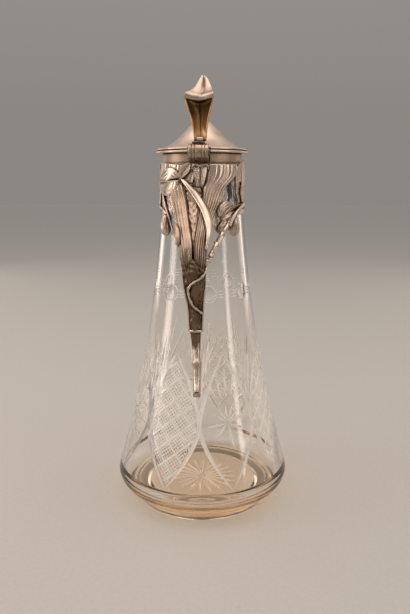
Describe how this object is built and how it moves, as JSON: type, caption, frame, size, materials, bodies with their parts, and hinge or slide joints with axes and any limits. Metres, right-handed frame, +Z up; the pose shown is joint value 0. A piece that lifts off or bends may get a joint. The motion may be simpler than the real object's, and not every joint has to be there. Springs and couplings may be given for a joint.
{
  "type": "claret jug",
  "caption": "Tall flared cut-glass claret jug with a cast metal neck mount, leaf-shaped handle, pouring spout and hinged conical lid with a thumbpiece.",
  "frame": {"origin": "centre of the jug's axis on the surface that it stands on", "axes": "+Z up along the glass body's axis, +Y towards the pouring lip, -Y towards the handle and hinge, +X to the right seen from the handle"},
  "size_m": [0.1464, 0.1464, 0.3455],
  "materials": {
    "cut_glass": "polished clear glass with mitre cuts",
    "plated_metal": "cast white metal with worn silver plate, satin, dark in the recesses",
    "pin_steel": "drawn wire",
    "plaster": "matt plaster"
  },
  "bodies": {
    "jug": {"glass_body": "cut_glass", "plaster_bed": "plaster", "hinge_pin": "pin_steel", "neck_band": "plated_metal", "spout": "plated_metal", "hinge_bracket": "plated_metal", "stalk_left": "plated_metal", "stalk_middle": "plated_metal", "leaf_right": "plated_metal", "grip": "plated_metal", "tail": "plated_metal", "vine": "plated_metal", "calyx": "plated_metal", "spray_left": "plated_metal", "spray_right": "plated_metal", "spray_front": "plated_metal", "spray_front_left": "plated_metal", "spray_front_right": "plated_metal", "bud_left": "plated_metal", "bud_right": "plated_metal", "bud_front_left": "plated_metal", "bud_front_right": "plated_metal", "stalk_web": "plated_metal"},
    "lid": {"lid_knuckles": "plated_metal", "lid_cone": "plated_metal", "lid_rim": "plated_metal", "lid_bezel": "plated_metal", "lid_beak": "plated_metal", "thumb_trough": "plated_metal", "thumb_petal": "plated_metal", "thumb_curl": "plated_metal"}
  },
  "joints": [
    {"name": "lid_hinge", "type": "hinge", "parent": "jug", "child": "lid", "pos_m": [0, -0.0385, 0.2888], "axis": [1, 0, 0], "range_deg": [0, 100]}
  ]
}
